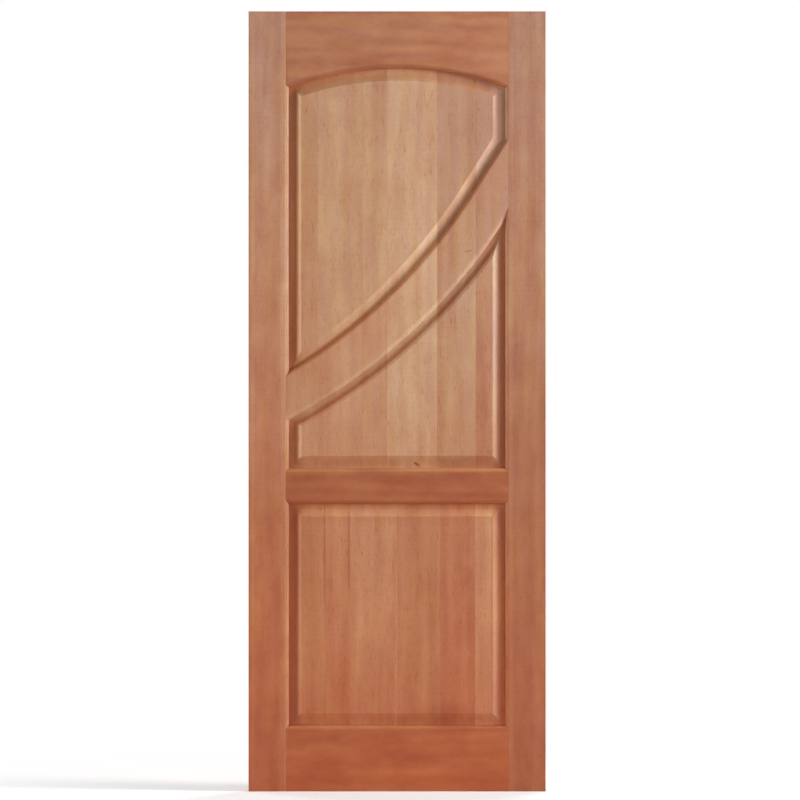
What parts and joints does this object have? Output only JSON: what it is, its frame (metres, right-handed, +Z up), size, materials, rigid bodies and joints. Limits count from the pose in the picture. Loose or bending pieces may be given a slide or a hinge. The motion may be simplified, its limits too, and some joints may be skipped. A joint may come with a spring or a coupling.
{
  "type": "wooden door leaf",
  "caption": "Solid wood stile-and-rail door leaf with an arched top rail, a curved muntin that sweeps up across it, and raised and fielded panels on both faces.",
  "frame": {"origin": "middle of the hinge edge: half way up it and half way through the leaf's thickness", "axes": "+X across the leaf from the hinge edge to the lock edge, -Y towards the front face, +Z up"},
  "size_m": [0.8, 0.04, 2.1],
  "materials": {
    "frame_wood": "satin varnish",
    "panel_wood": "satin varnish",
    "muntin_wood": "satin varnish"
  },
  "bodies": {
    "root": {"left_stile": "frame_wood", "right_stile": "frame_wood", "top_rail": "frame_wood", "middle_rail": "frame_wood", "bottom_rail": "frame_wood", "upper_panel_board_1": "panel_wood", "upper_panel_board_2": "panel_wood", "upper_panel_board_3": "panel_wood", "upper_panel_board_4": "panel_wood", "upper_panel_board_5": "panel_wood", "upper_panel_board_6": "panel_wood", "middle_panel_board_1": "panel_wood", "middle_panel_board_2": "panel_wood", "middle_panel_board_3": "panel_wood", "middle_panel_board_4": "panel_wood", "middle_panel_board_5": "panel_wood", "middle_panel_board_6": "panel_wood", "lower_panel_board_1": "panel_wood", "lower_panel_board_2": "panel_wood", "lower_panel_board_3": "panel_wood", "lower_panel_board_4": "panel_wood", "lower_panel_board_5": "panel_wood", "lower_panel_board_6": "panel_wood", "muntin_board_1": "muntin_wood", "muntin_board_2": "muntin_wood", "muntin_board_3": "muntin_wood", "muntin_board_4": "muntin_wood", "muntin_board_5": "muntin_wood", "muntin_board_6": "muntin_wood"}
  },
  "joints": []
}
